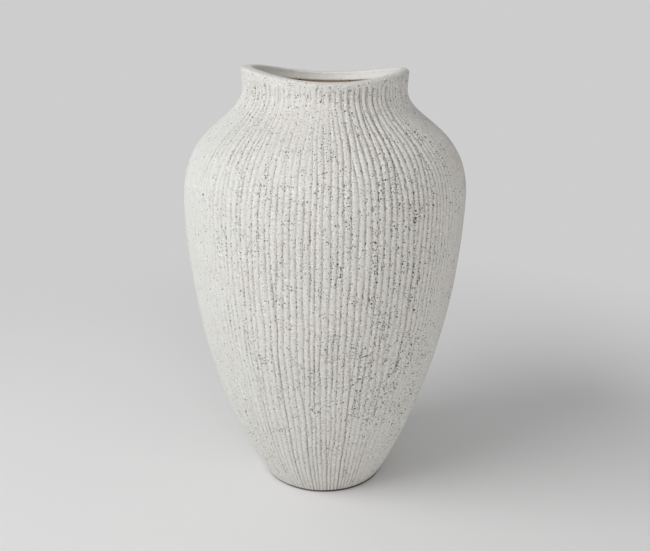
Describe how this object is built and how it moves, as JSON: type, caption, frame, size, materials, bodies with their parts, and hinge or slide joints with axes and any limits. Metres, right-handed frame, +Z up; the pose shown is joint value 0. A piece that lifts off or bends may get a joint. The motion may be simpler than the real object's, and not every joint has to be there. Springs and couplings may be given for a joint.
{
  "type": "ceramic vase",
  "caption": "Wide-shouldered stoneware vase with a narrow foot, hand-combed vertical flutes and a saddle-shaped rim, for holding stems or standing empty.",
  "frame": {"origin": "centre of the base, on the surface that the vase stands on", "axes": "+Z up along the vase's axis, -Y towards the viewer, +X to the viewer's right"},
  "size_m": [0.196, 0.196, 0.303],
  "materials": {
    "stoneware": "matte off-white slip with fine dark speckles, combed by hand",
    "felt": "pressed felt"
  },
  "bodies": {
    "root": {"foot_ring": "stoneware", "lower_bowl": "stoneware", "shoulder": "stoneware", "neck_collar": "stoneware", "felt_pad_front": "felt", "felt_pad_right": "felt", "felt_pad_back": "felt", "felt_pad_left": "felt"}
  },
  "joints": []
}
